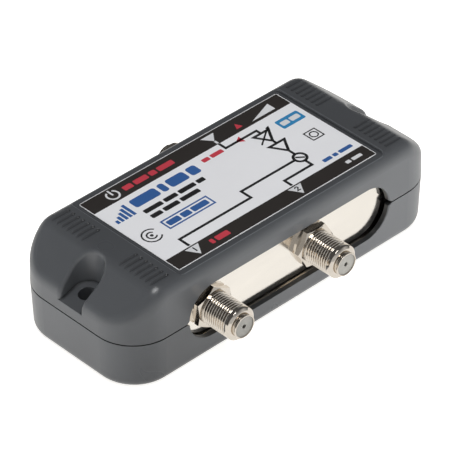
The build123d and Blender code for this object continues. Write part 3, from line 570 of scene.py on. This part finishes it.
marks = Print("label_strip_marks", "white", 1)
marks.ring(POWER_X, POWER_Y, POWER_RADIUS, POWER_LINE, POWER_START, POWER_END)
marks.box(POWER_X - POWER_BAR_HALF, POWER_BAR_Y, POWER_X + POWER_BAR_HALF, POWER_BAR_END_Y)
arrows = (
    (INPUT_X, INPUT_ARROW_TOP, INPUT_ARROW_TIP), (OUTPUT_A_X, OUTPUT_ARROW_TOP, OUTPUT_ARROW_TIP),
    (OUTPUT_B_X, OUTPUT_ARROW_TOP, OUTPUT_ARROW_TIP),
)
for x, top, tip in arrows:
    marks.shape([(x - PORT_ARROW_HALF, top), (x + PORT_ARROW_HALF, top), (x, tip)])
marks.box(INPUT_X - INPUT_STEM_HALF, INPUT_STEM_Y, INPUT_X + INPUT_STEM_HALF, INPUT_STEM_END_Y)
marks.shape([
    (GAIN_X - WEDGE_LEFT, WEDGE_Y), (GAIN_X + WEDGE_RIGHT, WEDGE_Y),
    (GAIN_X + WEDGE_RIGHT, WEDGE_TOP),
])
marks.bars(BAR_ROWS["label_strip_marks"])
marks.place()

red_marks = Print("label_strip_red", "red", 1)
red_marks.shape(RED_MARK)
red_marks.bars(BAR_ROWS["label_strip_red"])
red_marks.place()

block_marks = Print("label_block_marks", "white", 1)
block_marks.bars(BAR_ROWS["label_block_marks"])
block_marks.place()


# Port numbers, printed on the white arrows

ONE_HALF_WIDTH, ONE_Y, ONE_TOP = 0.2, -16.1, -14.3
TWO_LINE = 0.34
TWO = [(-0.55, -14.75), (-0.25, -14.4), (0.3, -14.4), (0.5, -14.8), (-0.5, -15.85), (0.6, -15.85)]

numbers = Print("label_port_numbers", "black", 2)
numbers.box(OUTPUT_A_X - ONE_HALF_WIDTH, ONE_Y, OUTPUT_A_X + ONE_HALF_WIDTH, ONE_TOP)
numbers.line([(OUTPUT_B_X + x, y) for x, y in TWO], TWO_LINE)
numbers.place()


# Connector bodies with a real helical thread, turned about the port axis, in millimetres

FRONT, REAR = -1, 1
PORTS = {"output_a": (OUTPUT_A_X, FRONT), "output_b": (OUTPUT_B_X, FRONT), "input": (INPUT_X, REAR)}
AROUND, STEPS_PER_TURN = 96, 14
SHELL_SHARP_ANGLE = 35

# Distances from the shield box's wall, outwards
TAIL_END, BORE_BOTTOM, FLANGE_BACK, FLANGE_FRONT, NECK_END = -4.8, -4.3, -2.0, -0.5, 2.1
TAIL_BORE, TAIL_RADIUS, FLANGE_RADIUS, NECK_RADIUS = 2.4, 4.0, 5.5, 4.35
BORE_RADIUS, EDGE = 3.0, 0.1
THREAD_START, THREAD_TURNS, PITCH = 2.27, 10, 0.794
THREAD_RADIUS, THREAD_DEPTH, THREAD_CHAMFER = 4.7, 0.49, 0.08
THREAD_END = THREAD_START + THREAD_TURNS * PITCH
ROOT_SHARE, FLANK_SHARE, RUNOUT_SHARE = 0.12, 0.72, 0.6

# Distance from the thread's end, and radius: the chamfer, the neck and the ring of the mouth
NOSE_OUTLINE = [
    (0.93, THREAD_RADIUS), (1.0, 4.67), (1.07, 4.60), (1.53, 4.07), (1.58, 3.99), (1.60, 3.9),
    (1.60, 3.12), (1.66, 3.06), (2.05, 3.06), (2.10, 3.12),
    (2.12, 3.24), (2.17, 3.33), (2.26, 3.35), (2.55, 3.35), (2.65, 3.32), (2.70, 3.24),
    (2.70, 3.08), (2.64, BORE_RADIUS),
]


def thread_radius(s, angle):
    """Radius of the thread at a distance from the wall and an angle round the axis."""
    from_end = min(s - THREAD_START, THREAD_END - s)
    depth = THREAD_DEPTH * min(1.0, max(0.0, from_end / (RUNOUT_SHARE * PITCH)))
    phase = ((s - THREAD_START) / PITCH - angle / (2 * math.pi)) % 1.0
    from_root = abs(phase - 0.5) * 2
    rise = min(1.0, max(0.0, (from_root - ROOT_SHARE) / FLANK_SHARE))
    return THREAD_RADIUS - depth * (1 - rise)


def port_profile():
    """Distance and radius round the section; the thread's rows have no radius of their own."""
    tail = [
        (BORE_BOTTOM, TAIL_BORE), (TAIL_END, TAIL_BORE), (TAIL_END, TAIL_RADIUS - EDGE),
        (TAIL_END + EDGE, TAIL_RADIUS), (FLANGE_BACK, TAIL_RADIUS),
        (FLANGE_BACK, FLANGE_RADIUS - EDGE), (FLANGE_BACK + EDGE, FLANGE_RADIUS),
        (FLANGE_FRONT, FLANGE_RADIUS), (FLANGE_FRONT, NECK_RADIUS), (NECK_END, NECK_RADIUS),
        (THREAD_START, THREAD_RADIUS - THREAD_CHAMFER),
    ]
    steps = THREAD_TURNS * STEPS_PER_TURN
    thread = [
        (THREAD_START + THREAD_TURNS * PITCH * i / steps, None) for i in range(steps + 1)
    ]
    nose = [(THREAD_END + s, radius) for s, radius in NOSE_OUTLINE]
    return tail + thread + nose + [(BORE_BOTTOM, BORE_RADIUS)]


def port_shell(name, x, side):
    """The port's section turned about its axis."""
    points, faces = [], []
    profile = port_profile()
    for s, plain_radius in profile:
        for k in range(AROUND):
            angle = 2 * math.pi * k / AROUND
            radius = thread_radius(s, angle) if plain_radius is None else plain_radius
            points.append((
                x - side * radius * math.cos(angle), side * (WALL_Y + s),
                AXIS_Z + radius * math.sin(angle),
            ))
    for i in range(len(profile)):
        row, next_row = i * AROUND, (i + 1) % len(profile) * AROUND
        for k in range(AROUND):
            m = (k + 1) % AROUND
            faces.append((row + k, row + m, next_row + m, next_row + k))
    return add_piece(name, points, faces, finishes["nickel_plate"])


for port, (x, side) in PORTS.items():
    shell = port_shell(port + "_shell", x, side)
    smooth(shell.data, SHELL_SHARP_ANGLE)
    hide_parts(port + "_body")


# Smooth shading on the rounded CAD forms

CAD_SHARP_ANGLE = 28

for node in nodes.values():
    smooth(node.data, CAD_SHARP_ANGLE)


# Floor: white to the camera, even in reflections, and a light from below on dull surfaces

FLOOR_HALF = 4
FLOOR_GREY = (0.84, 0.84, 0.84, 1.0)
FLOOR_GLOW = (1.0, 0.985, 0.955, 1.0)
FLOOR_SEEN, FLOOR_MIRRORED = 0.85, 1.0

# The light from below grows to the left and right of the case's near corner; places in metres
LIFT_NEAR, LIFT_FAR = 0.34, 3.9
LIFT_MIDDLE, LIFT_START, LIFT_END = -0.014, 0.008, 0.070
ACROSS_PICTURE = (0.7225, -0.6914, 0.0)


def floor_surface():
    material, tree, principled = new_material("floor")
    tree.nodes.remove(principled)
    ray = shader_node(tree, "LightPath", {}).outputs
    sideways = shader_node(
        tree, "VectorMath", {0: object_coordinates(tree), 1: ACROSS_PICTURE},
        operation="DOT_PRODUCT")
    offset = calculate(tree, "SUBTRACT", sideways.outputs["Value"], LIFT_MIDDLE)
    distance = calculate(tree, "ABSOLUTE", offset)
    lift = remap(tree, distance, LIFT_START, LIFT_END, LIFT_NEAR, LIFT_FAR)
    strength = 0.0
    levels = (
        ("Is Camera Ray", FLOOR_SEEN), ("Is Glossy Ray", FLOOR_MIRRORED), ("Is Diffuse Ray", lift))
    for kind, level in levels:
        part = calculate(tree, "MULTIPLY", ray[kind], level)
        strength = calculate(tree, "ADD", strength, part)
    glow = shader_node(tree, "Emission", {"Color": FLOOR_GLOW, "Strength": strength})
    # Reflections see the floor's own light alone, so metal shows it even
    diffuse = shader_node(tree, "BsdfDiffuse", {"Color": FLOOR_GREY})
    lit = shader_node(tree, "MixShader", {"Fac": ray["Is Glossy Ray"], 1: diffuse.outputs["BSDF"]})
    both = shader_node(
        tree, "AddShader", {0: lit.outputs["Shader"], 1: glow.outputs["Emission"]})
    set_inputs(tree, tree.nodes["Material Output"], {"Surface": both.outputs["Shader"]})
    return material


floor_mesh = bpy.data.meshes.new("floor")
corners = [(-FLOOR_HALF, -FLOOR_HALF, 0), (FLOOR_HALF, -FLOOR_HALF, 0),
           (FLOOR_HALF, FLOOR_HALF, 0), (-FLOOR_HALF, FLOOR_HALF, 0)]
floor_mesh.from_pydata(corners, [], [(0, 1, 2, 3)])
floor_mesh.materials.append(floor_surface())
floor = bpy.data.objects.new("floor", floor_mesh)
scene.collection.objects.link(floor)


# World: white to the camera; reflections see a bright band low in front, and dark elsewhere

WORLD_SEEN = 1.0
MIRRORED_DARK, MIRRORED_FRONT = 0.08, 0.48
BAND_START_Y, BAND_FULL_Y = -0.3, -0.65
BAND_FULL_Z, BAND_END_Z = 0.36, 0.58
DIFFUSE_LOW, DIFFUSE_HIGH, DIFFUSE_HIGH_Z = 0.5, 0.22, 0.7


def studio_world():
    world = bpy.data.worlds.new("studio")
    world.use_nodes = True
    tree = world.node_tree
    ray = shader_node(tree, "LightPath", {}).outputs
    towards = shader_node(tree, "TexCoord", {}).outputs["Generated"]
    direction = shader_node(tree, "SeparateXYZ", {"Vector": towards}).outputs
    in_front = remap(tree, direction["Y"], BAND_START_Y, BAND_FULL_Y, 0.0, MIRRORED_FRONT)
    low = remap(tree, direction["Z"], BAND_FULL_Z, BAND_END_Z, 1.0, 0.0)
    band = calculate(tree, "MULTIPLY", in_front, low)
    mirrored = calculate(tree, "ADD", band, MIRRORED_DARK)
    diffuse = remap(tree, direction["Z"], 0.0, DIFFUSE_HIGH_Z, DIFFUSE_LOW, DIFFUSE_HIGH)
    unseen = mix(tree, "FLOAT", ray["Is Glossy Ray"], diffuse, mirrored)
    strength = mix(tree, "FLOAT", ray["Is Camera Ray"], unseen, WORLD_SEEN)
    set_inputs(tree, tree.nodes["Background"], {"Color": (1.0, 1.0, 1.0, 1.0), "Strength": strength})
    return world


scene.world = studio_world()


# Soft studio lamps: name, place, size, power, seen in reflections or not; metres and watts

LAMP_TARGET = Vector((0.0, 0.0, 0.01))
LAMPS = (
    ("key", (-0.80, 0.42, 0.14), 0.30, 1.5, False),
    ("fill", (0.50, -0.30, 0.10), 0.20, 0.9, False),
    ("top", (-0.16, -0.20, 1.05), 0.50, 6.0, True),
)

for name, place, size, power, mirrored in LAMPS:
    lamp_data = bpy.data.lights.new(name, "AREA")
    lamp_data.shape = "DISK"
    lamp_data.size = size
    lamp_data.energy = power
    lamp = bpy.data.objects.new(name, lamp_data)
    scene.collection.objects.link(lamp)
    lamp.visible_camera = False
    lamp.visible_glossy = mirrored
    lamp.location = place
    aim = LAMP_TARGET - Vector(place)
    lamp.rotation_euler = aim.to_track_quat("-Z", "Y").to_euler()

scene.view_settings.view_transform = "Standard"
